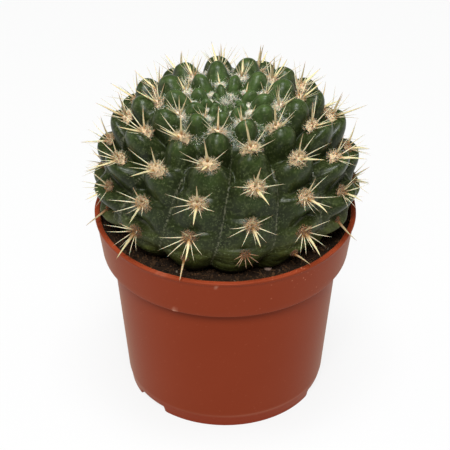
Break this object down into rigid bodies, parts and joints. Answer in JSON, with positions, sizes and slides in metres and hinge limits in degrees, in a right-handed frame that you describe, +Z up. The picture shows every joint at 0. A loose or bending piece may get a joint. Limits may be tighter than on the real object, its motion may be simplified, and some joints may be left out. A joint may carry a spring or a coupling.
{
  "type": "potted cactus",
  "caption": "Globular green ball cactus with chinned ribs, woolly areoles and straw-coloured spines, in a terracotta-coloured plastic nursery pot",
  "frame": {"origin": "middle of the pot's foot, on the surface that it stands on", "axes": "+Z up, out of the pot's mouth; -Y is the side that the picture shows; +X is to the right seen from there"},
  "size_m": [0.0931, 0.0927, 0.1145],
  "materials": {
    "pot_plastic": "satin",
    "potting_soil": "matte",
    "cactus_skin": "satin"
  },
  "bodies": {
    "root": {"pot": "pot_plastic", "soil": "potting_soil", "cactus": "cactus_skin"}
  },
  "joints": []
}
